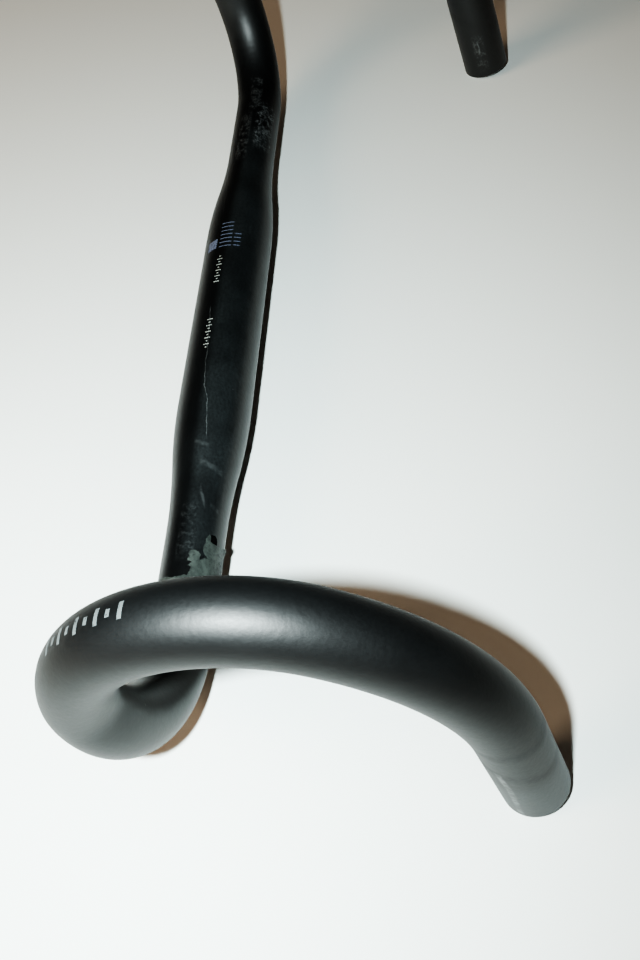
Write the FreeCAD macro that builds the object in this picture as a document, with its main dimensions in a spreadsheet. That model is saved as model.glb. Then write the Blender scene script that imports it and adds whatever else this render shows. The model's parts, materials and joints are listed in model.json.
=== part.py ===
import FreeCAD, Part
import math
import os
import Sketcher

# Drop handlebar for a road bicycle: one bent aluminium tube with printed marks.
#
# Every sub-part is drawn in the frame of the bar itself. X runs along the tops to the
# rider's right. Z runs forward, along the reach. Y runs down, along the drop. The origin
# is the centre of the stem clamp. Each sub-part's Placement then tips the bar back about
# the X axis by lie_tilt, so that it lies on its clamp bulge and on the rims of both drop
# ends, with +Z up.

V = FreeCAD.Vector
os.makedirs("parts", exist_ok=True)
doc = FreeCAD.newDocument("drop_handlebar")

# ---------------------------------------------------------------- driving dimensions
# name, value in millimetres or degrees, what it is
DRIVING = [
    ("half_width", 210.0, "clamp centre to the centre of a drop end"),
    ("clamp_radius", 15.9, "outside radius of the stem clamp bulge"),
    ("clamp_bore", 13.6, "inside radius under the clamp, 2.3 mm wall"),
    ("tube_radius", 11.9, "outside radius of tops, hooks and drops"),
    ("tube_bore", 10.3, "inside radius of tops, hooks and drops, 1.6 mm wall"),
    ("clamp_half", 52.0, "half length of the cylindrical clamp bulge"),
    ("taper_length", 66.0, "length of each swaged taper"),
    ("bend_radius", 48.0, "centreline radius from tops to ramp"),
    ("ramp_radius", 30.0, "centreline radius where the ramp starts to drop"),
    ("ramp_angle", 22.0, "turn of that first arc"),
    ("hook_radius", 53.0, "centreline radius of the hook"),
    ("hook_angle", 109.0, "turn of the hook"),
    ("drop_radius", 99.0, "centreline radius of the lower drop"),
    ("drop_angle", 49.0, "turn of the lower drop"),
    ("end_length", 45.0, "straight tube at each drop end"),
    ("end_break", 0.3, "chamfer on the cut ends"),
    ("lie_tilt", 12.49, "how far the bar tips back when it lies on a table"),
    ("ink", 0.05, "thickness of the printed ink"),
    ("stem_first", 12.0, "first long mark of a stem scale from the centre"),
    ("stem_pitch", 3.75, "spacing of the long marks of a stem scale"),
    ("stem_stroke", 0.55, "width of a stem scale mark"),
    ("stem_long", 9.8, "angle a long stem mark covers"),
    ("stem_short", 3.4, "angle a stem dot covers"),
    ("lever_first", 28.4, "turn into the hook of the first lever mark"),
    ("lever_pitch", 7.5, "turn between the long lever marks"),
    ("lever_stroke", 1.3, "turn a lever mark covers along the hook"),
    ("lever_long", 25.0, "angle a long lever mark covers around the tube"),
    ("lever_short", 12.0, "angle a short lever mark covers around the tube"),
    ("print_start", 35.5, "inner edge of the printed block from the centre"),
    ("print_pitch", 2.7, "spacing of the bars in the printed block"),
    ("print_stroke", 0.6, "width of a bar in the printed block"),
    ("patch_length", 6.6, "length of the filled patch in the printed block"),
    ("patch_turn", 20.8, "angle of the filled patch from straight ahead"),
    ("patch_span", 20.0, "angle the filled patch covers"),
    ("long_turn", -5.1, "angle of the long bars from straight ahead"),
    ("long_span", 21.6, "angle a long bar covers"),
    ("short_turn", -25.3, "angle of the short bars from straight ahead"),
    ("short_span", 12.0, "angle a short bar covers"),
]
STEM_MARKS = 5
LEVER_LONG_MARKS = 5
LEVER_SHORT_MARKS = 4
PRINT_ROWS = [("long", 7), ("short", 4)]    # row of the printed block and its number of bars

sheet = doc.addObject("Spreadsheet::Sheet", "Dims")
dims = {}
for row, (alias, value, meaning) in enumerate(DRIVING, start=1):
    sheet.set(f"A{row}", alias)
    sheet.set(f"B{row}", str(value))
    sheet.set(f"C{row}", meaning)
    sheet.setAlias(f"B{row}", alias)
    dims[alias] = value
doc.recompute()


# ---------------------------------------------------------------- helpers
def shifted(x, y, z):
    """A placement that only moves."""
    return FreeCAD.Placement(V(x, y, z), FreeCAD.Rotation())


def turned_about_x(angle, base=(0, 0, 0)):
    """A placement that turns about the X axis, and moves to base."""
    return FreeCAD.Placement(V(*base), FreeCAD.Rotation(V(1, 0, 0), angle))


def new_body(name):
    """A body named after its sub-part and tipped back to the lying pose."""
    body = doc.addObject("PartDesign::Body", name)
    body.Label = name
    body.Placement = turned_about_x(dims["lie_tilt"])
    body.setExpression("Placement.Rotation.Angle", "Dims.lie_tilt")
    return body


def origin_plane(body, role):
    """One of the body's own origin planes or axes."""
    return next(item for item in body.Origin.OriginFeatures if item.Role == role)


def new_sketch(body, name, role, offset=None):
    """A sketch on an origin plane, moved by an optional offset."""
    sketch = body.newObject("Sketcher::SketchObject", name)
    sketch.AttachmentSupport = (origin_plane(body, role), [""])
    sketch.MapMode = "FlatFace"
    if offset is not None:
        sketch.AttachmentOffset = offset
    return sketch


def drive(sketch, name, constraint, formula=None):
    """Add a named constraint and bind it to the sheet."""
    index = sketch.addConstraint(constraint)
    sketch.renameConstraint(index, name)
    sketch.setExpression(f"Constraints.{name}", formula or f"Dims.{name}")


START, END, CENTRE = 1, 2, 3        # which point of a line or an arc a constraint holds
ORIGIN = (-1, START)                # the sketch's own origin
X_AXIS, Y_AXIS = -1, -2             # the sketch's own axes


def line(sketch, start, end):
    return sketch.addGeometry(Part.LineSegment(V(*start, 0), V(*end, 0)), False)


def arc(sketch, centre, radius, first_deg, last_deg):
    """An arc drawn anticlockwise from first_deg to last_deg."""
    circle = Part.Circle(V(*centre, 0), V(0, 0, 1), radius)
    first, last = math.radians(first_deg), math.radians(last_deg)
    return sketch.addGeometry(Part.ArcOfCircle(circle, first, last), False)


def join(sketch, kind, first, first_end, second, second_end):
    sketch.addConstraint(Sketcher.Constraint(kind, first, first_end, second, second_end))


def ring_sketch(body, name, role, offset):
    """The tube's cross-section: outer and inner circle about the sketch origin."""
    sketch = new_sketch(body, name, role, offset)
    for alias in ("tube_radius", "tube_bore"):
        circle = Part.Circle(V(0, 0, 0), V(0, 0, 1), dims[alias])
        index = sketch.addGeometry(circle, False)
        join(sketch, "Coincident", index, CENTRE, *ORIGIN)
        drive(sketch, alias, Sketcher.Constraint("Radius", index, dims[alias]))
    return sketch


def taper(sketch, big, small):
    """Two equal arcs, tangent to each other, from radius big to radius small."""
    length = dims["taper_length"]
    step = dims[big] - dims[small]
    radius = (length ** 2 + step ** 2) / (4 * step)
    turn = math.degrees(math.asin(length / (2 * radius)))
    start = dims["clamp_half"]
    upper = arc(sketch, (start, dims[big] - radius), radius, 90 - turn, 90)
    lower = arc(sketch, (start + length, dims[small] + radius), radius, 270 - turn, 270)
    sketch.addConstraint(Sketcher.Constraint("Equal", upper, lower))
    join(sketch, "Tangent", upper, START, lower, START)
    return upper, lower


# ---------------------------------------------------------------- the bent tube
tube = new_body("handlebar_tube")

# Clamp bulge, taper and straight top of the right half: the wall's outline, turned about X.
wall = new_sketch(tube, "top_wall", "XY_Plane")
half = dims["clamp_half"]
taper_end = half + dims["taper_length"]
top_end = dims["half_width"] - dims["bend_radius"]
outer, inner = dims["tube_radius"], dims["tube_bore"]
big, bore = dims["clamp_radius"], dims["clamp_bore"]
middle = line(wall, (0, bore), (0, big))
bulge = line(wall, (0, big), (half, big))
outer_high, outer_low = taper(wall, "clamp_radius", "tube_radius")
top = line(wall, (taper_end, outer), (top_end, outer))
cut = line(wall, (top_end, outer), (top_end, inner))
top_inside = line(wall, (top_end, inner), (taper_end, inner))
inner_high, inner_low = taper(wall, "clamp_bore", "tube_bore")
bulge_inside = line(wall, (half, bore), (0, bore))
for segment in (middle, cut):
    wall.addConstraint(Sketcher.Constraint("Vertical", segment))
for segment in (bulge, top, top_inside, bulge_inside):
    wall.addConstraint(Sketcher.Constraint("Horizontal", segment))
join(wall, "Coincident", middle, END, bulge, START)
join(wall, "Tangent", bulge, END, outer_high, END)
join(wall, "Tangent", outer_low, END, top, START)
join(wall, "Coincident", top, END, cut, START)
join(wall, "Coincident", cut, END, top_inside, START)
join(wall, "Tangent", top_inside, END, inner_low, END)
join(wall, "Tangent", inner_high, END, bulge_inside, START)
join(wall, "Coincident", bulge_inside, END, middle, START)
wall.addConstraint(Sketcher.Constraint("PointOnObject", middle, START, Y_AXIS))
drive(wall, "clamp_radius", Sketcher.Constraint("DistanceY", *ORIGIN, bulge, START, big))
drive(wall, "clamp_bore", Sketcher.Constraint("DistanceY", *ORIGIN, middle, START, bore))
drive(wall, "tube_radius", Sketcher.Constraint("DistanceY", *ORIGIN, top, START, outer))
drive(wall, "tube_bore", Sketcher.Constraint("DistanceY", *ORIGIN, top_inside, START, inner))
drive(wall, "clamp_half", Sketcher.Constraint("DistanceX", *ORIGIN, bulge, END, half))
drive(wall, "clamp_half_inside",
      Sketcher.Constraint("DistanceX", *ORIGIN, bulge_inside, START, half), "Dims.clamp_half")
drive(wall, "taper_length",
      Sketcher.Constraint("DistanceX", bulge, END, top, START, taper_end - half))
drive(wall, "taper_length_inside",
      Sketcher.Constraint("DistanceX", bulge_inside, START, top_inside, END, taper_end - half),
      "Dims.taper_length")
drive(wall, "top_end", Sketcher.Constraint("DistanceX", *ORIGIN, top, END, top_end),
      "Dims.half_width - Dims.bend_radius")

centre_tube = tube.newObject("PartDesign::Revolution", "clamp_and_top")
centre_tube.Profile = wall
centre_tube.ReferenceAxis = (wall, ["H_Axis"])
centre_tube.Angle = 360
doc.recompute()

# The bend from the top into the ramp: a quarter turn in the XZ plane.
bend_path = new_sketch(tube, "bend_path", "XZ_Plane")
bend = arc(bend_path, (top_end, dims["bend_radius"]), dims["bend_radius"], 270, 360)
drive(bend_path, "bend_radius", Sketcher.Constraint("Radius", bend, dims["bend_radius"]))
drive(bend_path, "top_end", Sketcher.Constraint("DistanceX", *ORIGIN, bend, START, top_end),
      "Dims.half_width - Dims.bend_radius")
bend_path.addConstraint(Sketcher.Constraint("PointOnObject", bend, START, X_AXIS))
join(bend_path, "Vertical", bend, START, bend, CENTRE)
join(bend_path, "Horizontal", bend, END, bend, CENTRE)
bend_ring = ring_sketch(tube, "bend_ring", "YZ_Plane", shifted(0, 0, top_end))
bend_ring.setExpression("AttachmentOffset.Base.z", "Dims.half_width - Dims.bend_radius")
doc.recompute()
bend_tube = tube.newObject("PartDesign::AdditivePipe", "bend_tube")
bend_tube.Profile = bend_ring
bend_tube.Spine = bend_path
doc.recompute()

# Ramp, hook, lower drop and straight end: three arcs and a line in the plane of the drop.
# The path climbs forward (+Z) and turns down (+Y), so each arc is drawn from its lower end.
path = new_sketch(tube, "drop_path", "YZ_Plane", shifted(0, 0, dims["half_width"]))
path.setExpression("AttachmentOffset.Base.z", "Dims.half_width")
point = (0.0, dims["bend_radius"])
turned = 0.0
centres = {}
previous = None
for name in ("ramp", "hook", "drop"):
    radius, angle = dims[f"{name}_radius"], dims[f"{name}_angle"]
    heading = math.radians(turned)
    centre = (point[0] + radius * math.cos(heading), point[1] - radius * math.sin(heading))
    centres[name] = centre
    piece = arc(path, centre, radius, 180 - turned - angle, 180 - turned)
    drive(path, f"{name}_radius", Sketcher.Constraint("Radius", piece, radius))
    if previous is None:
        path.addConstraint(Sketcher.Constraint("PointOnObject", piece, END, Y_AXIS))
        join(path, "Horizontal", piece, END, piece, CENTRE)
        drive(path, "bend_radius", Sketcher.Constraint("DistanceY", *ORIGIN, piece, END, point[1]))
    else:
        join(path, "Tangent", previous, START, piece, END)
    drive(path, f"{name}_angle", Sketcher.Constraint("Angle", piece, math.radians(angle)))
    turned += angle
    heading = math.radians(turned)
    point = (centre[0] - radius * math.cos(heading), centre[1] + radius * math.sin(heading))
    previous = piece
end_y = point[0] + dims["end_length"] * math.sin(heading)
end_z = point[1] + dims["end_length"] * math.cos(heading)
straight = line(path, point, (end_y, end_z))
join(path, "Tangent", previous, START, straight, START)
drive(path, "end_length", Sketcher.Constraint("Distance", straight, dims["end_length"]))
drop_ring = ring_sketch(tube, "drop_ring", "XY_Plane",
                        shifted(dims["half_width"], 0, dims["bend_radius"]))
drop_ring.setExpression("AttachmentOffset.Base.x", "Dims.half_width")
drop_ring.setExpression("AttachmentOffset.Base.z", "Dims.bend_radius")
doc.recompute()
drop_tube = tube.newObject("PartDesign::AdditivePipe", "drop_tube")
drop_tube.Profile = drop_ring
drop_tube.Spine = path
doc.recompute()

# The left half is the mirror image.
both = tube.newObject("PartDesign::Mirrored", "left_half")
both.Originals = [centre_tube, bend_tube, drop_tube]
both.MirrorPlane = (origin_plane(tube, "YZ_Plane"), [""])
tube.Tip = both
doc.recompute()

# Both cut ends are deburred inside and outside: two rims on each.
NEAR = 0.01
end_edges = []
for number, edge in enumerate(both.Shape.Edges, start=1):
    if not isinstance(edge.Curve, Part.Circle):
        continue
    middle = edge.Curve.Center
    if abs(middle.y - end_y) < NEAR and abs(middle.z - end_z) < NEAR:
        end_edges.append(f"Edge{number}")
if len(end_edges) != 4:
    raise RuntimeError(f"expected 4 rims to deburr, found {len(end_edges)}")
deburr = tube.newObject("PartDesign::Chamfer", "end_deburr")
deburr.Base = (both, end_edges)
deburr.Size = dims["end_break"]
deburr.setExpression("Size", "Dims.end_break")
tube.Tip = deburr
doc.recompute()


# ---------------------------------------------------------------- printed marks
def ink_patch(body, name, left, left_formula, width_name, span_name, turn_name=None):
    """A thin patch of ink on the clamp bulge: a small rectangle turned part way about X.

    left is the X of its left edge. turn_name is its angle from straight ahead (+Z)."""
    turn = dims[turn_name] if turn_name else 0.0
    sketch = new_sketch(body, f"{name}_outline", "XZ_Plane", turned_about_x(turn))
    if turn_name:
        sketch.setExpression("AttachmentOffset.Rotation.Angle", f"Dims.{turn_name}")
    low, high = dims["clamp_radius"], dims["clamp_radius"] + dims["ink"]
    width = dims[width_name]
    right = left + width
    bottom = line(sketch, (left, low), (right, low))
    side = line(sketch, (right, low), (right, high))
    top = line(sketch, (right, high), (left, high))
    back = line(sketch, (left, high), (left, low))
    for first, second in ((bottom, side), (side, top), (top, back), (back, bottom)):
        join(sketch, "Coincident", first, END, second, START)
    for segment in (bottom, top):
        sketch.addConstraint(Sketcher.Constraint("Horizontal", segment))
    for segment in (side, back):
        sketch.addConstraint(Sketcher.Constraint("Vertical", segment))
    drive(sketch, "clamp_radius", Sketcher.Constraint("DistanceY", *ORIGIN, bottom, START, low))
    drive(sketch, "ink", Sketcher.Constraint("DistanceY", side, START, side, END, high - low))
    drive(sketch, width_name, Sketcher.Constraint("DistanceX", bottom, START, bottom, END, width))
    drive(sketch, "left_edge", Sketcher.Constraint("DistanceX", *ORIGIN, bottom, START, left),
          left_formula)
    patch = body.newObject("PartDesign::Revolution", name)
    patch.Profile = sketch
    patch.ReferenceAxis = (sketch, ["H_Axis"])
    patch.Midplane = True
    patch.Angle = dims[span_name]
    patch.setExpression("Angle", f"Dims.{span_name}")
    doc.recompute()
    return patch, sketch


def repeat_along(body, name, patch, sketch, count, pitch_name):
    """Repeat an ink patch along the bar."""
    row = body.newObject("PartDesign::LinearPattern", name)
    row.Originals = [patch]
    row.Direction = (sketch, ["H_Axis"])
    row.Length = dims[pitch_name] * (count - 1)
    row.setExpression("Length", f"{count - 1} * Dims.{pitch_name}")
    row.Occurrences = count
    body.Tip = row
    doc.recompute()


# Stem alignment scales: long marks and dots alternate, the innermost mark is long. A row is
# repeated towards +X, so the left scale's rows start at their outermost mark.
for side, label in ((1, "stem_scale_right"), (-1, "stem_scale_left")):
    body = new_body(label)
    for kind, shift, span_name in (("long", 0.0, "stem_long"), ("dot", 0.5, "stem_short")):
        steps = shift if side > 0 else shift + STEM_MARKS - 1
        distance = dims["stem_first"] + steps * dims["stem_pitch"]
        left = side * distance - dims["stem_stroke"] / 2
        formula = f"{side} * (Dims.stem_first + {steps} * Dims.stem_pitch) - Dims.stem_stroke / 2"
        patch, outline = ink_patch(body, f"{label}_{kind}", left, formula, "stem_stroke", span_name)
        repeat_along(body, f"{label}_{kind}_row", patch, outline, STEM_MARKS, "stem_pitch")

# A plain printed block beside the left stem scale: a filled patch, a row of long bars and
# a row of short bars.
body = new_body("print_mark")
ink_patch(body, "patch", -dims["print_start"] - dims["patch_length"],
          "-Dims.print_start - Dims.patch_length", "patch_length", "patch_span", "patch_turn")
for kind, count in PRINT_ROWS:
    steps = count - 1
    left = -dims["print_start"] - steps * dims["print_pitch"] - dims["print_stroke"]
    formula = f"-Dims.print_start - {steps} * Dims.print_pitch - Dims.print_stroke"
    bar, outline = ink_patch(body, f"{kind}_bar", left, formula, "print_stroke",
                             f"{kind}_span", f"{kind}_turn")
    repeat_along(body, f"{kind}_row", bar, outline, count, "print_pitch")

# Lever alignment scales: marks across the outermost line of each hook, long ones and short
# ones alternating. Each mark is a curved sliver turned a little way about the hook's axis.
QUARTER = math.pi / 2


def lever_outline(body, name, side, turn, span_name):
    """The sliver's cross-section, seen along the hook: two short arcs joined by lines.

    turn is how far the hook has turned where the mark sits."""
    offset = turned_about_x(180 - turn, (side * dims["half_width"], *centres["hook"]))
    sketch = new_sketch(body, name, "XY_Plane", offset)
    sketch.setExpression("AttachmentOffset.Base.x", f"{side} * Dims.half_width")
    low, high = dims["tube_radius"], dims["tube_radius"] + dims["ink"]
    reach = dims["hook_radius"]
    angle = math.radians(dims[span_name])
    ends = (QUARTER - angle / 2, QUARTER + angle / 2)
    under = arc(sketch, (0, reach), low, *map(math.degrees, ends))
    over = arc(sketch, (0, reach), high, *map(math.degrees, ends))
    for direction, curve_end in zip(ends, (START, END)):
        unit = (math.cos(direction), math.sin(direction))
        foot = (low * unit[0], reach + low * unit[1])
        tip = (high * unit[0], reach + high * unit[1])
        edge = line(sketch, foot, tip)
        join(sketch, "Coincident", edge, START, under, curve_end)
        join(sketch, "Coincident", edge, END, over, curve_end)
    for curve in (under, over):
        sketch.addConstraint(Sketcher.Constraint("Symmetric", curve, START, curve, END, Y_AXIS))
    sketch.addConstraint(Sketcher.Constraint("PointOnObject", under, CENTRE, Y_AXIS))
    join(sketch, "Coincident", over, CENTRE, under, CENTRE)
    drive(sketch, "hook_radius", Sketcher.Constraint("DistanceY", *ORIGIN, under, CENTRE, reach))
    drive(sketch, "tube_radius", Sketcher.Constraint("Radius", under, low))
    drive(sketch, "ink_radius", Sketcher.Constraint("Radius", over, high),
          "Dims.tube_radius + Dims.ink")
    drive(sketch, span_name, Sketcher.Constraint("Angle", under, angle))
    drive(sketch, f"{span_name}_over", Sketcher.Constraint("Angle", over, angle),
          f"Dims.{span_name}")
    return sketch


for side, label in ((1, "lever_scale_right"), (-1, "lever_scale_left")):
    body = new_body(label)
    for kind, count, shift in (("long", LEVER_LONG_MARKS, 0.0), ("short", LEVER_SHORT_MARKS, 0.5)):
        name = f"{label}_{kind}"
        turn = dims["ramp_angle"] + dims["lever_first"] + shift * dims["lever_pitch"]
        outline = lever_outline(body, f"{name}_outline", side, turn, f"lever_{kind}")
        mark = body.newObject("PartDesign::Revolution", name)
        mark.Profile = outline
        mark.ReferenceAxis = (outline, ["H_Axis"])
        mark.Midplane = True
        mark.Angle = dims["lever_stroke"]
        mark.setExpression("Angle", "Dims.lever_stroke")
        doc.recompute()
        ring = body.newObject("PartDesign::PolarPattern", f"{name}_row")
        ring.Originals = [mark]
        ring.Axis = (outline, ["H_Axis"])
        ring.Reversed = True
        ring.Angle = dims["lever_pitch"] * (count - 1)
        ring.setExpression("Angle", f"{count - 1} * Dims.lever_pitch")
        ring.Occurrences = count
        body.Tip = ring
        doc.recompute()


# ---------------------------------------------------------------- check and export
doc.recompute()
PARTS = ["handlebar_tube", "stem_scale_right", "stem_scale_left", "print_mark",
         "lever_scale_right", "lever_scale_left"]
for item in doc.Objects:
    if {"Invalid", "Error"} & set(item.State):
        raise RuntimeError(f"{item.Name} did not build: {item.State}")
for name in PARTS:
    shape = doc.getObject(name).Shape
    if shape.isNull() or not shape.isValid() or not shape.Solids:
        raise RuntimeError(f"{name} has no valid solid")
    shape.exportStep(f"parts/{name}.step")
    print(name, len(shape.Solids), "solids", round(shape.Volume, 2), "mm3")
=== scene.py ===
import json
import math

import bpy
from mathutils import Euler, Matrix, Vector, geometry, noise


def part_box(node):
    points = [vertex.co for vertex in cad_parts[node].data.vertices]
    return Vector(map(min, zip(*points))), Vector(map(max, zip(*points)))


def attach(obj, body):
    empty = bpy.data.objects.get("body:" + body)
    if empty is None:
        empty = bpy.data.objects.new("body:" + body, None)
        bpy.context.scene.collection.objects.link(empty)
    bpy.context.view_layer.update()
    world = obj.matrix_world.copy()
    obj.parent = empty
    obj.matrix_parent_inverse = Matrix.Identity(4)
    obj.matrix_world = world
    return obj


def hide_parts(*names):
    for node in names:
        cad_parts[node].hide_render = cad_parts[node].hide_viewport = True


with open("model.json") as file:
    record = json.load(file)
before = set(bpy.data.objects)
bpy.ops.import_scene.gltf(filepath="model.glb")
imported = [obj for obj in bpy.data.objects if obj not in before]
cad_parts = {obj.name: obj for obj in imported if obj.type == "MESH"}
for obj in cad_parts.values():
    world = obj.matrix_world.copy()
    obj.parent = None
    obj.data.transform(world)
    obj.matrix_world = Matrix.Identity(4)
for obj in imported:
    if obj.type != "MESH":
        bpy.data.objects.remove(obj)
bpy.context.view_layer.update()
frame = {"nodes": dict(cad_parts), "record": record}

MM = 0.001      # metres

# ------------------------------------------------------------------ sizes of the bar, in mm
# The bar's own frame is X to the rider's right, Z forward, Y down as ridden. It lies on a
# table tipped back by LIE_TILT about X, which is the frame of every Blender object.
MOUNTS = {m["name"]: m for m in frame["record"]["mounts"]}
CLAMP_R = MOUNTS["stem_clamp"]["dims"]["r_mm"]          # outside radius of the bulge
CLAMP_HALF = MOUNTS["stem_clamp"]["dims"]["length_mm"] / 2     # half the bulge's length
CLAMP_BORE = 13.6                                       # bore radius inside the bulge
TAPER = 66.0                                            # length from the bulge to the tube
TUBE_R = 11.9                                           # outside radius of the tube
END_BORE = MOUNTS["bar_end_right"]["dims"]["r_mm"]      # bore radius of the tube
HALF_WIDTH = MOUNTS["bar_end_right"]["pos_m"][0] / MM
BEND_R = 48.0                                           # the bend from the tops into the drop
HOOK_ARCS = [(30.0, 22.0), (53.0, 109.0), (99.0, 49.0)]     # radius and turn of each arc
END_LENGTH = 45.0                                       # the straight drop end
END_BREAK = 0.3                                         # edge break of the cut rims
LIE_TILT = math.radians(12.49)
REST_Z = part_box("handlebar_tube")[0].z                  # the table's height, metres

SKIN_STEP = 1.5         # spacing of the rings of the outer skin
SKIN_SIDES = 96
BORE_STEP = 3.0
BORE_SIDES = 48
SKIN_MAP = "along_and_around"       # UV map: u is mm along the tube, v is degrees around it
MM_PER_DEGREE = math.radians(1) * TUBE_R    # round the tube's skin


def lie(point):
    """From the bar's own frame in mm to the row frame in metres."""
    x, y, z = point
    c, s = math.cos(LIE_TILT), math.sin(LIE_TILT)
    return Vector((x, y * c - z * s, y * s + z * c)) * MM


class Run:
    """The centreline of the right half, measured by its length s from the middle."""

    def __init__(self):
        # Each part is its start, its stop, its kind and what that kind needs: an arc its
        # centre, radius and first angle, and the end its first point and its angle.
        top = HALF_WIDTH - BEND_R
        self.parts = [(0.0, top, "top", None)]
        s = top
        length = BEND_R * math.pi / 2
        self.parts.append((s, s + length, "bend", None))
        s += length
        point, turned = (0.0, BEND_R), 0.0
        for radius, turn in HOOK_ARCS:
            a = math.radians(turned)
            centre = (point[0] + radius * math.cos(a), point[1] - radius * math.sin(a))
            length = radius * math.radians(turn)
            self.parts.append((s, s + length, "arc", (centre, radius, a)))
            s += length
            turned += turn
            a = math.radians(turned)
            point = (centre[0] - radius * math.cos(a), centre[1] + radius * math.sin(a))
        self.parts.append((s, s + END_LENGTH, "end", (point, math.radians(turned))))
        self.length = s + END_LENGTH

    def at(self, s):
        """Point, and the two directions across the tube that angle 0 and 90 degrees point."""
        for start, stop, kind, data in self.parts:
            if s <= stop + 1e-9 or kind == "end":
                break
        along = s - start
        if kind == "top":
            return (s, 0.0, 0.0), (0.0, 0.0, 1.0), (0.0, -1.0, 0.0)
        if kind == "bend":
            a = along / BEND_R
            x = HALF_WIDTH - BEND_R + BEND_R * math.sin(a)
            z = BEND_R - BEND_R * math.cos(a)
            return (x, 0.0, z), (-math.sin(a), 0.0, math.cos(a)), (0.0, -1.0, 0.0)
        if kind == "arc":
            centre, radius, first = data
            a = first + along / radius
            y = centre[0] - radius * math.cos(a)
            z = centre[1] + radius * math.sin(a)
            return (HALF_WIDTH, y, z), (-1.0, 0.0, 0.0), (0.0, -math.cos(a), math.sin(a))
        point, a = data
        y = point[0] + along * math.sin(a)
        z = point[1] + along * math.cos(a)
        return (HALF_WIDTH, y, z), (-1.0, 0.0, 0.0), (0.0, -math.cos(a), math.sin(a))


RUN = Run()


def swage(s, big, small):
    """Radius along the top: clamp bulge, taper of two equal tangent arcs, tube."""
    t = (abs(s) - CLAMP_HALF) / TAPER
    if t <= 0:
        return big
    if t >= 1:
        return small
    step = big - small
    arc = (TAPER ** 2 + step ** 2) / (4 * step)
    if t <= 0.5:
        return big - arc + math.sqrt(arc ** 2 - (t * TAPER) ** 2)
    return small + arc - math.sqrt(arc ** 2 - ((1 - t) * TAPER) ** 2)


def skin_point(s, angle, lift=0.0):
    """A point on the outer skin, raised by lift mm."""
    return round_point(s, angle, swage(s, CLAMP_R, TUBE_R) + lift)


def round_point(s, angle, radius):
    """A point at a distance from the centreline, s mm from the middle (+ right, - left) and
    angle degrees round from the top of the lying bar towards -Y."""
    centre, zero, quarter = RUN.at(min(abs(s), RUN.length))
    a = math.radians(angle) - LIE_TILT
    c, q = radius * math.cos(a), radius * math.sin(a)
    x, y, z = (centre[i] + c * zero[i] + q * quarter[i] for i in range(3))
    return lie((-x if s < 0 else x, y, z))


# ------------------------------------------------------------------ mesh helpers
def mesh_piece(name, verts, faces, material, uvs=None, sharp=None):
    """A smooth piece in the row frame. uvs holds a place on the skin for each face's corners,
    and edges steeper than sharp degrees stay sharp."""
    mesh = bpy.data.meshes.new(name)
    mesh.from_pydata([tuple(v) for v in verts], [], faces)
    mesh.validate()
    mesh.polygons.foreach_set("use_smooth", [True] * len(mesh.polygons))
    if uvs is not None:
        layer = mesh.uv_layers.new(name=SKIN_MAP)
        flat = [uvs[f][k] for f in range(len(faces)) for k in range(len(faces[f]))]
        layer.data.foreach_set("uv", [v for pair in flat for v in pair])
    if sharp is not None:
        mesh.set_sharp_from_angle(angle=math.radians(sharp))
    mesh.update()
    piece = bpy.data.objects.new(name, mesh)
    bpy.context.scene.collection.objects.link(piece)
    mesh.materials.append(material)
    return piece


def tube_mesh():
    """The tube's closed surface: outer skin, bore, and two deburred rims. The last result
    says of each face whether it is bare metal."""
    verts, faces, uvs = [], [], []
    length = RUN.length

    def ring(s, radius, sides):
        """Adds a circle of points round the tube and returns the first one's index."""
        first = len(verts)
        for k in range(sides):
            verts.append(round_point(s, 360.0 * k / sides - 180.0, radius))
        return first

    def stitch(one, two, s_one, s_two, sides, flip):
        """Faces between two circles with the same number of sides."""
        for k in range(sides):
            n = (k + 1) % sides
            quad = [one + k, one + n, two + n, two + k]
            low, high = 360.0 * k / sides - 180.0, 360.0 * (k + 1) / sides - 180.0
            where = [(s_one, low), (s_one, high), (s_two, high), (s_two, low)]
            if flip:
                quad.reverse()
                where.reverse()
            faces.append(quad)
            uvs.append(where)

    def mixed(one, sides_one, two, sides_two, s, flip):
        """A flat ring between circles of different side counts: sides_one is a multiple."""
        per = sides_one // sides_two
        for k in range(sides_two):
            n = (k + 1) % sides_two
            outer = [one + (k * per + j) % sides_one for j in range(per + 1)]
            poly = outer + [two + n, two + k]
            if flip:
                poly.reverse()
            angle = 360.0 * k / sides_two - 180.0
            faces.append(poly)
            uvs.append([(s, angle)] * len(poly))

    def stations(step, cut):
        """Evenly spaced places from end to end, stopping short of each end by cut."""
        count = int(round(2 * (length - cut) / step))
        return [-(length - cut) + 2 * (length - cut) * i / count for i in range(count + 1)]

    skin = stations(SKIN_STEP, END_BREAK)
    rings = [ring(s, swage(s, CLAMP_R, TUBE_R), SKIN_SIDES) for s in skin]
    for (a, sa), (b, sb) in zip(zip(rings, skin), zip(rings[1:], skin[1:])):
        stitch(a, b, sa, sb, SKIN_SIDES, False)
    coated = len(faces)
    bore = stations(BORE_STEP, END_BREAK)
    inner = [ring(s, swage(s, CLAMP_BORE, END_BORE), BORE_SIDES) for s in bore]
    for (a, sa), (b, sb) in zip(zip(inner, bore), zip(inner[1:], bore[1:])):
        stitch(a, b, sa, sb, BORE_SIDES, True)
    for s, outer_ring, inner_ring, flip in ((-length, rings[0], inner[0], True),
                                            (length, rings[-1], inner[-1], False)):
        near = math.copysign(length - END_BREAK, s)
        lip = ring(s, TUBE_R - END_BREAK, SKIN_SIDES)
        lip_in = ring(s, END_BORE + END_BREAK, BORE_SIDES)
        stitch(outer_ring, lip, near, s, SKIN_SIDES, flip)
        mixed(lip, SKIN_SIDES, lip_in, BORE_SIDES, s, flip)
        stitch(lip_in, inner_ring, s, near, BORE_SIDES, flip)
    return verts, faces, uvs, [index >= coated for index in range(len(faces))]


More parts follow.
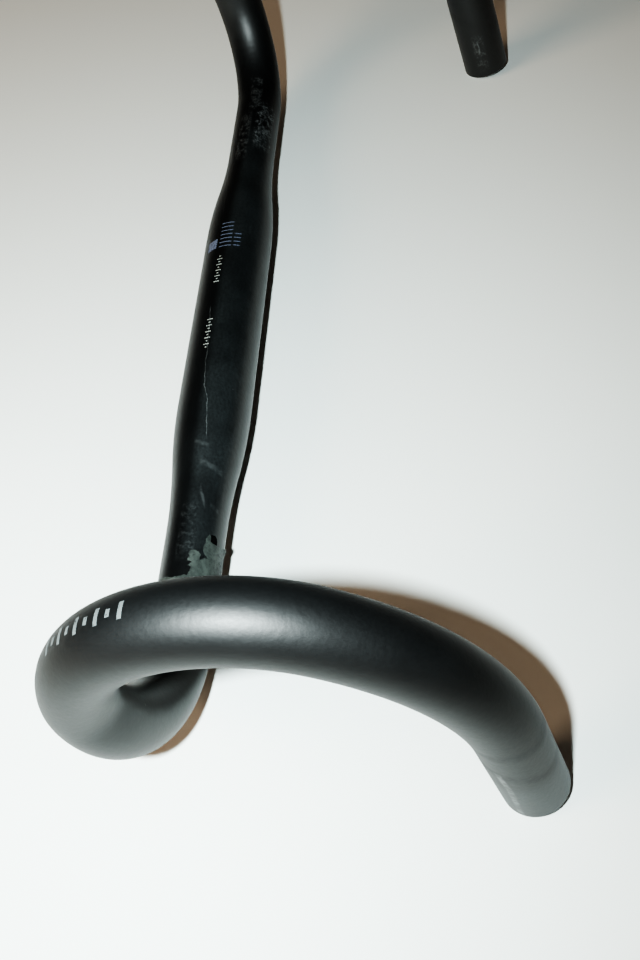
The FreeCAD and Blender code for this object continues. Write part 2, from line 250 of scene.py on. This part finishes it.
# ------------------------------------------------------------------ node helpers
class Graph:
    """Short names for the shader nodes of one material. Values are sockets or numbers."""

    def __init__(self, name):
        self.material = bpy.data.materials.new(name)
        self.material.use_nodes = True
        self.tree = self.material.node_tree
        self.bsdf = self.tree.nodes["Principled BSDF"]

    def set(self, socket, value):
        if isinstance(value, bpy.types.NodeSocket):
            self.tree.links.new(value, socket)
        elif isinstance(value, tuple) and len(value) == 3 and socket.type == "RGBA":
            socket.default_value = (*value, 1)
        else:
            socket.default_value = value

    def finish(self, **values):
        """Sets the surface's named inputs and returns the material."""
        for label, value in values.items():
            self.set(self.bsdf.inputs[label.replace("_", " ").title()], value)
        return self.material

    def math(self, operation, *values):
        node = self.tree.nodes.new("ShaderNodeMath")
        node.operation = operation
        for socket, value in zip(node.inputs, values):
            self.set(socket, value)
        return node.outputs[0]

    def chain(self, operation, values):
        total = values[0]
        for value in values[1:]:
            total = self.math(operation, total, value)
        return total

    def times(self, *values):
        return self.chain("MULTIPLY", values)

    def plus(self, *values):
        return self.chain("ADD", values)

    def minus(self, *values):
        return self.chain("SUBTRACT", values)

    def most(self, *masks):
        """The largest of several masks."""
        return self.chain("MAXIMUM", masks)

    def swing(self, value, reach):
        """A noise from 0 to 1 turned into one either side of zero, reach from end to end."""
        return self.times(self.minus(value, 0.5), reach)

    def step(self, value, low, high, from_zero=0.0, to_one=1.0):
        """Rises smoothly from from_zero to to_one while value goes from low to high."""
        node = self.tree.nodes.new("ShaderNodeMapRange")
        node.interpolation_type = "SMOOTHSTEP"
        for label, v in (("Value", value), ("From Min", low), ("From Max", high),
                         ("To Min", from_zero), ("To Max", to_one)):
            self.set(node.inputs[label], v)
        return node.outputs["Result"]

    def window(self, value, low, high, soft):
        """1 between low and high, falling to 0 over soft outside them."""
        return self.times(self.step(value, low - soft, low),
                          self.step(value, high, high + soft, 1.0, 0.0))

    def mix(self, factor, one, two):
        node = self.tree.nodes.new("ShaderNodeMix")
        node.data_type = "RGBA"
        self.set(node.inputs["Factor"], factor)
        colours = [s for s in node.inputs if s.type == "RGBA"]
        self.set(colours[0], one)
        self.set(colours[1], two)
        return next(s for s in node.outputs if s.type == "RGBA")

    def noise(self, size_mm, detail=2.0, rough=0.5, stretch=None, distortion=0.0):
        """Noise from 0 to 1 whose blotches are about size_mm across, in the row frame."""
        node = self.tree.nodes.new("ShaderNodeTexNoise")
        where = self.tree.nodes.new("ShaderNodeTexCoord").outputs["Object"]
        if stretch is not None:
            mapping = self.tree.nodes.new("ShaderNodeMapping")
            mapping.inputs["Scale"].default_value = stretch
            self.set(mapping.inputs["Vector"], where)
            where = mapping.outputs["Vector"]
        self.set(node.inputs["Vector"], where)
        self.set(node.inputs["Scale"], 1.0 / (size_mm * MM))
        self.set(node.inputs["Detail"], detail)
        self.set(node.inputs["Roughness"], rough)
        self.set(node.inputs["Distortion"], distortion)
        return node.outputs["Fac"]

    def bump(self, height, strength, distance_mm, after=None):
        node = self.tree.nodes.new("ShaderNodeBump")
        self.set(node.inputs["Height"], height)
        self.set(node.inputs["Strength"], strength)
        self.set(node.inputs["Distance"], distance_mm * MM)
        if after is not None:
            self.set(node.inputs["Normal"], after)
        return node.outputs["Normal"]

    def skin_map(self):
        """mm along the tube and degrees around it."""
        node = self.tree.nodes.new("ShaderNodeUVMap")
        node.uv_map = SKIN_MAP
        parts = self.tree.nodes.new("ShaderNodeSeparateXYZ")
        self.set(parts.inputs[0], node.outputs["UV"])
        return parts.outputs["X"], parts.outputs["Y"]

    def through(self, along, points):
        """The value, at along, of a line through the points, and the ends of its stretch."""
        node = self.tree.nodes.new("ShaderNodeFloatCurve")
        xs, ys = [p[0] for p in points], [p[1] for p in points]
        x0, x1, y0, y1 = min(xs), max(xs), min(ys), max(ys)
        curve = node.mapping.curves[0]
        spots = sorted(((x - x0) / (x1 - x0), (y - y0) / (y1 - y0)) for x, y in points)
        for spot in spots[1:-1]:
            curve.points.new(*spot)
        for point, spot in zip(curve.points, spots):
            point.location = spot
            point.handle_type = "VECTOR"
        node.mapping.update()
        share = self.math("DIVIDE", self.minus(along, float(x0)), float(x1 - x0))
        self.set(node.inputs["Value"], share)
        value = self.plus(self.times(node.outputs["Value"], float(y1 - y0)), float(y0))
        return value, (x0, x1)


# ------------------------------------------------------------------ the coating
# Places are mm along the tube from its middle, + right and - left, and degrees round it from
# its top, + towards -Y.
COAT_IOR = 1.70
COAT_ROUGHNESS = 0.40
COAT_BLACK = (0.0040, 0.0045, 0.0050)
# The colour of dust, and also of a painted sheen: a pale band along the tops that stands in for a
# broad highlight.
COAT_DUST_AND_SHEEN = (0.027, 0.033, 0.035)
COAT_SCUFF = (0.20, 0.22, 0.225)
TAPE_START = 132.0              # the bar tape reached in to here, on both sides
TAPE_FADE = 6.0                 # mm either side of it
TAPE_DULLING = (30.0, 0.07)     # from there the roughness rises: over how many mm, by how much
HOOK_DULLING = (260.0, 330.0, 0.03)     # and again: from, to, by how much
LEFT_DROP = (-340.0, -270.0)    # between these the left side turns glossier and less dusty
LEFT_GLOSS = 0.09
LEFT_DUST = 0.5
PAINTED_SHEEN_BAND = (-48, -8, 26)       # a painted sheen band along the tops, where the dust colour is laid on fully: degrees from, degrees to, fade
END_HAZE = (448.0, 462.0)       # between these the right end turns dusty all round
FLECK_SWING, CLOUD_SWING = 0.10, 0.12           # unevenness of the roughness
SCRATCH_DULLING, RING_DULLING = 0.20, 0.075     # more roughness in scratches and tape rings
GRAIN_DEPTH, PEEL_DEPTH, SCRATCH_DEPTH = 0.011, 0.058, 0.05     # mm of bump
HAIRLINES = [       # points of a line that runs along the tube, half width in degrees, strength
    ([(6, 14.7), (33, 7.9), (37, 8.3), (51, 4.8), (59, -4.2), (66, -5.6), (76, -10)], 0.70, 0.40),
    ([(-62, 22), (-96, 30), (-104, 31)], 0.4, 0.22),
    ([(-20, -62), (14, -70)], 0.5, 0.20),
    ([(443, -142), (455, -147), (478, -143)], 6.5, 0.70),
    ([(-463, 10), (-461, 11), (-459, 10)], 2.5, 0.45),
]
STREAKS = [         # points of a line that runs around the tube, half width in mm, strength
    ([(-8, 89.5), (-27, 91.0), (-46, 92.5)], 1.5, 0.14),
    ([(-15, 103.5), (-22, 107.5)], 2.0, 0.18),
    ([(-38, 108.8), (-52, 110.0)], 1.0, 0.14),
    ([(5, 80.0), (-14, 81.5)], 1.2, 0.10),
    ([(120, -60.0), (96, -63.0), (75, -62.0)], 1.0, 0.18),
]
SCUFFS = [          # mm from, mm to, degrees from, degrees to, fade in mm and degrees, strength
    (-152, -119, -60, -16, 5, 7, 1.0),
    (-142, -110, 2, 26, 6, 6, 0.55),
    (-176, -150, -16, 8, 5, 6, 0.45),
    (112, 130, -14, 16, 6, 6, 0.15),
    (-471, -457, 2, 20, 6, 10, 0.4),
    (-118, -88, 96, 132, 8, 9, 0.6),
]
HAIRLINE_FADE = 3.0     # mm past a hairline's ends
STREAK_FADE = 5.0       # degrees past a streak's ends
LINE_CORE, LINE_EDGE = 0.35, 1.2        # half widths from its middle where a line is full and gone
SCUFF_SHARE, NICK_SHARE = 0.62, 0.30    # how far scuffs and nicks reach towards COAT_SCUFF
RINGS = [(428.0, 3.0), (446.0, 7.0)]    # dull bands left by tape: mm from the middle, slant
RING_EDGE = (0.2, 4.2)                  # mm from a band's middle, where it is full and gone


class Coating(Graph):
    """Satin black paint with dust, a painted sheen along the tops, scratches and the dull rings
    that tape left.
    """

    def __init__(self):
        super().__init__("satin_black_coating")
        self.along, self.around = self.skin_map()
        self.out = self.math("ABSOLUTE", self.along)        # the same on both sides
        self.cloud = self.noise(26.0, 3.0, 0.55)
        self.patches = self.noise(3.4, 4.0, 0.66, distortion=0.5)
        self.flecks = self.noise(1.0, 3.0, 0.65, distortion=0.4)
        self.shake = self.swing(self.noise(3.0, 3.0, 0.6), 5.0)     # degrees a hairline strays
        self.drift = self.times(self.shake, 0.35)                   # mm a streak or ring strays

    def line(self, run, across, points, half_width, strength, wiggle, fade):
        """A thin mark whose points give a place across for each place along its run."""
        centre, (low, high) = self.through(run, points)
        off = self.math("ABSOLUTE", self.plus(self.minus(across, centre), wiggle))
        mask = self.step(off, half_width * LINE_CORE, half_width * LINE_EDGE, 1.0, 0.0)
        return self.times(mask, self.window(run, low, high, fade), strength)

    def scratches(self):
        """How pale the coating is rubbed by hairlines, streaks, scuffs and a few nicks."""
        hairlines = self.most(*(
            self.line(self.along, self.around, points, width, strength, self.shake, HAIRLINE_FADE)
            for points, width, strength in HAIRLINES))
        streaks = self.most(*(
            self.line(self.around, self.along, points, width, strength, self.drift, STREAK_FADE)
            for points, width, strength in STREAKS))
        scuffs = self.most(*(
            self.times(self.window(self.along, s0, s1, soft_s),
                       self.window(self.around, a0, a1, soft_a), strength)
            for s0, s1, a0, a1, soft_s, soft_a, strength in SCUFFS))
        broken = self.step(self.noise(3.2, 3.0, 0.6), 0.36, 0.60, 0.30, 1.0)
        smeared = self.step(self.patches, 0.34, 0.62, 0.15, 1.0)
        torn = self.times(self.step(self.patches, 0.42, 0.58), self.step(self.flecks, 0.40, 0.62))
        nicks = self.step(self.noise(1.9, 1.0, 0.4), 0.82, 0.86)
        return self.most(self.times(hairlines, broken), self.times(streaks, smeared),
                         self.times(scuffs, torn, SCUFF_SHARE), self.times(nicks, NICK_SHARE))

    def tape_rings(self):
        """Where tape left dull, slightly slanted rings round the drop ends."""
        turn = self.math("SINE", self.times(self.around, math.radians(1)))
        rings = []
        for place, slant in RINGS:
            off = self.minus(self.out, place, self.times(turn, slant))
            off = self.plus(self.math("ABSOLUTE", off), self.drift)
            rings.append(self.step(off, *RING_EDGE, 1.0, 0.0))
        return self.times(self.most(*rings), self.step(self.patches, 0.30, 0.60, 0.35, 1.0))

    def dust_and_sheen(self):
        """How much of the dust colour the coating gets: a light dusting over most of it, the full
        colour along the band of the tops as painted sheen, hazy at the right end.
        """
        inboard = self.step(self.out, TAPE_START - TAPE_FADE, TAPE_START + TAPE_FADE, 1.0, 0.0)
        # Along this band of the tops the dust colour is laid on fully, as a painted sheen for a
        # broad highlight.
        painted_sheen_band = self.times(inboard, self.window(self.around, *PAINTED_SHEEN_BAND))
        film = self.times(self.step(self.cloud, 0.30, 0.70, 0.5, 1.0),
                          self.step(self.flecks, 0.25, 0.75, 0.40, 1.0),
                          self.step(painted_sheen_band, 0.0, 1.0, 0.10, 1.0),
                          self.step(self.along, *LEFT_DROP, LEFT_DUST, 1.0))
        haze = self.times(self.step(self.along, *END_HAZE),
                          self.step(self.cloud, 0.25, 0.6, 0.55, 1.0))
        return self.most(film, haze)

    def roughness(self, pale):
        reach, tape_rise = TAPE_DULLING
        hook_from, hook_to, hook_rise = HOOK_DULLING
        return self.plus(
            self.step(self.out, TAPE_START, TAPE_START + reach,
                      COAT_ROUGHNESS, COAT_ROUGHNESS + tape_rise),
            self.step(self.out, hook_from, hook_to, 0.0, hook_rise),
            self.step(self.along, *LEFT_DROP, -LEFT_GLOSS, 0.0),
            self.swing(self.flecks, FLECK_SWING),
            self.swing(self.cloud, CLOUD_SWING),
            self.times(pale, SCRATCH_DULLING),
            self.times(self.tape_rings(), RING_DULLING))


def make_coating():
    g = Coating()
    pale = g.scratches()
    # Dust, and a painted sheen along the tops, lighten the black.
    colour = g.mix(g.dust_and_sheen(), COAT_BLACK, COAT_DUST_AND_SHEEN)
    colour = g.mix(pale, colour, COAT_SCUFF)
    normal = g.bump(g.noise(0.45, 2.0, 0.6), 1.0, GRAIN_DEPTH)
    normal = g.bump(g.noise(2.2, 2.0, 0.5), 1.0, PEEL_DEPTH, normal)
    normal = g.bump(pale, 0.5, SCRATCH_DEPTH, normal)
    g.bsdf.inputs["IOR"].default_value = COAT_IOR
    return g.finish(base_color=colour, roughness=g.roughness(pale), normal=normal)


# ------------------------------------------------------------------ the other materials
METAL_DULL, METAL_CLEAN = (0.46, 0.46, 0.47), (0.62, 0.62, 0.63)
FILM_DARK, FILM_LIGHT = (0.034, 0.042, 0.039), (0.072, 0.086, 0.079)
FILM_DIRT = (0.020, 0.023, 0.022)
# The near-black scrap's colours and IOR: painted shade for the shadowed gap under the loose leaf
# flake.
SHADE_SCRAP_DARK, SHADE_SCRAP_LIGHT = (0.0008, 0.0008, 0.0009), (0.003, 0.003, 0.0034)
SHADE_SCRAP_IOR = 1.25
INKS = {    # first word of a printed node: material, ink, what shows through, where wear begins
    "stem": ("white_ink_worn", (0.34, 0.37, 0.35), (0.03, 0.032, 0.034), 0.52),
    "lever": ("white_ink_rubbed", (0.135, 0.155, 0.160), (0.03, 0.033, 0.036), 0.54),
    "print": ("grey_ink_worn", (0.130, 0.155, 0.225), (0.020, 0.023, 0.030), 0.52),
}


def make_bare_metal():
    """Bare aluminium in the bore and on the cut rims."""
    g = Graph("bare_aluminium")
    drawn = g.noise(0.8, 3.0, 0.6)
    colour = g.mix(g.noise(7.0, 3.0, 0.5), METAL_DULL, METAL_CLEAN)
    rough = g.step(drawn, 0.2, 0.8, 0.32, 0.52)
    g.set(g.bsdf.inputs["Metallic"], 1.0)
    return g.finish(base_color=colour, roughness=rough, normal=g.bump(drawn, 0.25, 0.05))


def make_ink(name, ink, worn, wear):
    """Thin screen-printed ink, worn through to the coating in small spots."""
    g = Graph(name)
    spots = g.step(g.noise(0.9, 4.0, 0.7), wear, wear + 0.16)
    fade = g.noise(4.0, 2.0, 0.5)
    faded = tuple(0.55 * c for c in ink)
    colour = g.mix(g.times(fade, 0.5), ink, faded)
    colour = g.mix(spots, colour, worn)
    rough = g.step(fade, 0.2, 0.8, 0.5, 0.68)
    return g.finish(base_color=colour, roughness=rough, normal=g.bump(spots, 0.3, -0.03))


def make_film():
    """Dried tape adhesive: a dull grey-green film with cracks and dirt."""
    g = Graph("tape_residue")
    cloud = g.noise(5.0, 4.0, 0.6, distortion=0.5)
    dirt = g.noise(1.1, 4.0, 0.65)
    colour = g.mix(g.step(cloud, 0.3, 0.7), FILM_DARK, FILM_LIGHT)
    colour = g.mix(g.step(dirt, 0.50, 0.72, 0.0, 0.7), colour, FILM_DIRT)
    rough = g.step(dirt, 0.3, 0.7, 0.42, 0.60)
    cracks = g.noise(1.6, 3.0, 0.6)
    return g.finish(base_color=colour, roughness=rough, normal=g.bump(cracks, 0.4, 0.12))


def make_painted_shade_scrap():
    """A torn, near-black sheet: painted shade for the shadowed gap under the loose leaf flake."""
    g = Graph("painted_shade_scrap")
    scrap_grain = g.noise(0.5, 3.0, 0.6, stretch=(1.0, 4.0, 1.0))
    colour = g.mix(scrap_grain, SHADE_SCRAP_DARK, SHADE_SCRAP_LIGHT)
    rough = g.step(scrap_grain, 0.3, 0.7, 0.70, 0.88)
    g.bsdf.inputs["IOR"].default_value = SHADE_SCRAP_IOR
    return g.finish(base_color=colour, roughness=rough, normal=g.bump(scrap_grain, 0.6, 0.08))


# ------------------------------------------------------------------ the tube and its marks
verts, faces, uvs, bare = tube_mesh()
tube = mesh_piece("handlebar_tube_skin", verts, faces, make_coating(), uvs, sharp=35)
tube.data.materials.append(make_bare_metal())
tube.data.polygons.foreach_set("material_index", [int(flag) for flag in bare])
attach(tube, "root")
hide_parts("handlebar_tube")

inks = {word: make_ink(*look) for word, look in INKS.items()}
for node, printed in frame["nodes"].items():
    ink = inks.get(node.split("_")[0])
    if ink is not None:
        for holder in printed.material_slots:
            holder.material = ink


# ------------------------------------------------------------------ adhesive left by the tape, and a scrap of painted shade
FILM = 0.10             # thickness of the film, mm
SUNK = 0.04             # how far a patch's underside sits below the skin, mm
FILM_STEP = 0.8         # spacing of the points inside a patch, mm
TEAR_STEP = 0.45        # length of the steps of a torn edge, mm
TEAR_SCALE = 0.9        # the noise that bends a torn edge: its size, as changes per mm,
TEAR_SLICE = 3.7        # the height at which it is read,
TEAR_FINER, TEAR_WEAKER = 3.1, 0.6      # and a second noise on top, finer and weaker
LOOSE = 0.05            # how far a flake stands off the skin, mm
LOOSE_CORNERS = ((121.8, -41.0, 0.35, 4.0), (123.4, -93.0, 0.9, 3.0))  # mm, degrees, height, reach
SCRAP_LOOSE = 0.06      # the same for the near-black scrap of painted shade, which lifts further from here, mm along the tube, by this much for each mm
SCRAP_HINGE = 125.0     # which lifts further from here, mm along the tube,
SCRAP_SLOPE = 0.05      # by this much for each mm
MAIN_FILM = [(133.6, -128), (131.5, -112), (130.0, -96), (129.8, -72), (131.0, -55), (132.0, -45),
             (133.0, -36), (134.0, -26), (135.2, -18), (136.0, -13.5), (137.0, -8.5), (137.6, -16),
             (139.4, -15), (141.4, -10), (141.0, -5), (142.0, 7), (141.4, 25), (140.6, 44),
             (141.5, 62), (150, 78), (168, 70), (173, 30), (170, -10), (174, -60), (171, -120),
             (150, -138)]
LEAF_FLAKE = [(132.4, -46), (131.2, -38.5), (129.6, -34), (127.6, -33.5), (125.6, -37),
              (124.0, -35.5), (121.8, -41), (122.4, -45.5), (124.2, -46), (124.8, -53),
              (125.0, -63), (124.4, -72), (123.6, -85), (122.8, -93), (125.4, -99), (131.2, -94),
              (131.4, -72), (132.0, -56)]
SIDE_FLAKE = [(135.6, -17), (134.4, -7.5), (133.0, -12), (131.8, -8), (130.2, -12.5), (129.9, -20),
              (130.5, -27), (131.7, -31), (132.8, -29), (134.8, -26)]
# Outline of the near-black scrap, laid as painted shade where the gap under the leaf flake is in
# shadow.
PAINTED_SHADE_SCRAP = [(124.6, -46), (121.7, -45.5), (121.3, -53), (122.4, -59), (124.8, -61), (125.0, -53)]


def ragged(points, bite):
    """The outline with each side broken into short uneven steps, at most bite mm deep."""
    out = []
    for (s0, a0), (s1, a1) in zip(points, points[1:] + points[:1]):
        ds, da = s1 - s0, (a1 - a0) * MM_PER_DEGREE
        length = math.hypot(ds, da)
        count = max(1, int(length / TEAR_STEP))
        out.append((s0, a0))
        for i in range(1, count):
            t = i / count
            s, a = s0 + ds * t, a0 + (a1 - a0) * t
            place = Vector((s * TEAR_SCALE, a * MM_PER_DEGREE * TEAR_SCALE, TEAR_SLICE))
            fine = noise.noise(place * TEAR_FINER)
            depth = bite * (noise.noise(place) + TEAR_WEAKER * fine)
            out.append((s - depth * da / length, a + depth * ds / length / MM_PER_DEGREE))
    return out


def patch_triangles(outline):
    """Points in mm along and mm round that fill the outline, and the triangles between them."""
    edge = [Vector((s, a * MM_PER_DEGREE)) for s, a in outline]
    low = [min(p[i] for p in edge) for i in (0, 1)]
    high = [max(p[i] for p in edge) for i in (0, 1)]
    grid = [Vector((low[0] + (i + 0.5 * (j % 2)) * FILM_STEP, low[1] + j * FILM_STEP))
            for j in range(1, int((high[1] - low[1]) / FILM_STEP))
            for i in range(1, int((high[0] - low[0]) / FILM_STEP))]
    inside_only, tolerance = 1, 1e-5
    points, _, triangles, *_ = geometry.delaunay_2d_cdt(
        edge + grid, [], [list(range(len(edge)))], inside_only, tolerance)
    used = sorted({i for triangle in triangles for i in triangle})
    index = {old: new for new, old in enumerate(used)}
    return [points[i] for i in used], [[index[i] for i in triangle] for triangle in triangles]


def film_patch(name, outline, thickness, material, lift=None):
    """A thin closed patch that follows the tube. outline is in mm along and degrees round,
    and lift(s, angle) raises it off the skin."""
    points, triangles = patch_triangles(outline)
    upper, under = [], []
    for point in points:
        s, a = point.x, point.y / MM_PER_DEGREE
        up = lift(s, a) if lift else 0.0
        upper.append(skin_point(s, a, up + thickness))
        under.append(skin_point(s, a, up - SUNK))
    count = len(points)
    faces = triangles + [[i + count for i in reversed(triangle)] for triangle in triangles]
    sides = {(t[k], t[(k + 1) % 3]) for t in triangles for k in range(3)}
    faces += [[b, a, a + count, b + count] for a, b in sorted(sides) if (b, a) not in sides]
    piece = mesh_piece(name, upper + under, faces, material, sharp=40)
    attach(piece, "root")


def curl(s, angle):
    """The leaf-shaped flake is loose, and two of its corners stand up."""
    up = LOOSE
    for corner_s, corner_angle, height, size in LOOSE_CORNERS:
        reach = math.hypot(s - corner_s, (angle - corner_angle) * MM_PER_DEGREE)
        up += height * max(0.0, 1 - reach / size) ** 1.5
    return up


def overlap(s, angle):
    """One film lies on the edge of the next."""
    return LOOSE


def scrap(s, angle):
    """The near-black scrap of painted shade lies at the leaf-shaped flake's edge and lifts along
    its own.
    """
    return SCRAP_LOOSE + SCRAP_SLOPE * max(0.0, SCRAP_HINGE - s)


adhesive = make_film()
film_patch("tape_residue_main", ragged(MAIN_FILM, 0.7), FILM, adhesive)
film_patch("tape_residue_leaf", ragged(LEAF_FLAKE, 0.4), FILM, adhesive, curl)
film_patch("tape_residue_side", ragged(SIDE_FLAKE, 0.4), FILM, adhesive, overlap)
# The near-black scrap: a lifted sheet whose black is painted shade under the leaf flake's edge.
film_patch("painted_shade_scrap", ragged(PAINTED_SHADE_SCRAP, 0.3), 1.5 * FILM, make_painted_shade_scrap(), scrap)

# ------------------------------------------------------------------ floor and room
FLOOR_SIZE = 3.2        # metres
FLOOR_COLOUR = (0.78, 0.82, 0.81)
FLOOR_ROUGHNESS = 0.7
ROOM_COLOUR = (0.30, 0.26, 0.23)
ROOM_STRENGTH = 0.10
BACKDROP_COLOUR = (0.30, 0.29, 0.28)

bpy.ops.mesh.primitive_plane_add(size=FLOOR_SIZE, location=(0, 0, REST_Z))
floor = bpy.context.object
floor.name = "floor"
floor.data.materials.append(
    Graph("pale_floor").finish(base_color=FLOOR_COLOUR, roughness=FLOOR_ROUGHNESS))

# The dim room lights the bar. Past the floor's edge a pale backdrop shows, which lights nothing.
world = bpy.data.worlds.new("room")
bpy.context.scene.world = world
world.use_nodes = True
nodes, links = world.node_tree.nodes, world.node_tree.links
dim_room = nodes["Background"]
dim_room.inputs["Color"].default_value = (*ROOM_COLOUR, 1)
dim_room.inputs["Strength"].default_value = ROOM_STRENGTH
backdrop = nodes.new("ShaderNodeBackground")
backdrop.inputs["Color"].default_value = (*BACKDROP_COLOUR, 1)
choice = nodes.new("ShaderNodeMixShader")
links.new(nodes.new("ShaderNodeLightPath").outputs["Is Camera Ray"], choice.inputs["Fac"])
links.new(dim_room.outputs[0], choice.inputs[1])
links.new(backdrop.outputs[0], choice.inputs[2])
links.new(choice.outputs[0], nodes["World Output"].inputs["Surface"])


# ------------------------------------------------------------------ lights and camera
# Places and sizes are in metres, energies in watts and turns in degrees.
CAMERA_PLACE = (0.33527, 0.10528, 0.33450)
CAMERA_TURN = (36.227, 7.443, 93.143)
SENSOR_HEIGHT, FOCAL_LENGTH = 36, 38.83     # mm
FLASH_PLACE = (0.3635, 0.0335, 0.3860)
FLASH_ENERGY = 2.0
FLASH_COLOUR = (0.88, 1.0, 1.0)
FLASH_WIDTH = 0.024
FLASH_SPREAD = 122
FLASH_AIM = (("Y", 9), ("X", -2))           # turned from the camera's own direction
WARM = (1.0, 0.69, 0.46)
WARM_LIGHTS = [     # name, width, energy, place, turn
    ("room_lamp", 0.7, 8.8, (0.66, -1.07, 0.59), (64.5, 0.0, 26.5)),
    ("ceiling", 3.0, 2.8, (0.0, 0.0, 2.6), (0.0, 0.0, 0.0)),
]


def put(name, data, place, turn):
    """A new light or camera in the scene."""
    thing = bpy.data.objects.new(name, data)
    thing.location = place
    thing.rotation_euler = Euler([math.radians(angle) for angle in turn])
    bpy.context.scene.collection.objects.link(thing)
    return thing


def area_light(name, width, energy, colour, place, turn):
    lamp = bpy.data.lights.new(name, "AREA")
    lamp.size, lamp.energy, lamp.color = width, energy, colour
    return put(name, lamp, place, turn)


flash = area_light("flash", FLASH_WIDTH, FLASH_ENERGY, FLASH_COLOUR, FLASH_PLACE, CAMERA_TURN)
flash.data.shape = "DISK"
flash.data.spread = math.radians(FLASH_SPREAD)
for axis, angle in FLASH_AIM:
    flash.rotation_euler.rotate_axis(axis, math.radians(angle))
for name, width, energy, place, turn in WARM_LIGHTS:
    area_light(name, width, energy, WARM, place, turn).visible_glossy = False

lens = bpy.data.cameras.new("camera")
lens.sensor_fit = "VERTICAL"
lens.sensor_height = SENSOR_HEIGHT
lens.lens = FOCAL_LENGTH
lens.clip_start = 0.01
bpy.context.scene.camera = put("camera", lens, CAMERA_PLACE, CAMERA_TURN)

view = bpy.context.scene.view_settings
view.view_transform = "AgX"
view.look = "AgX - Very High Contrast"
view.exposure = 0.25
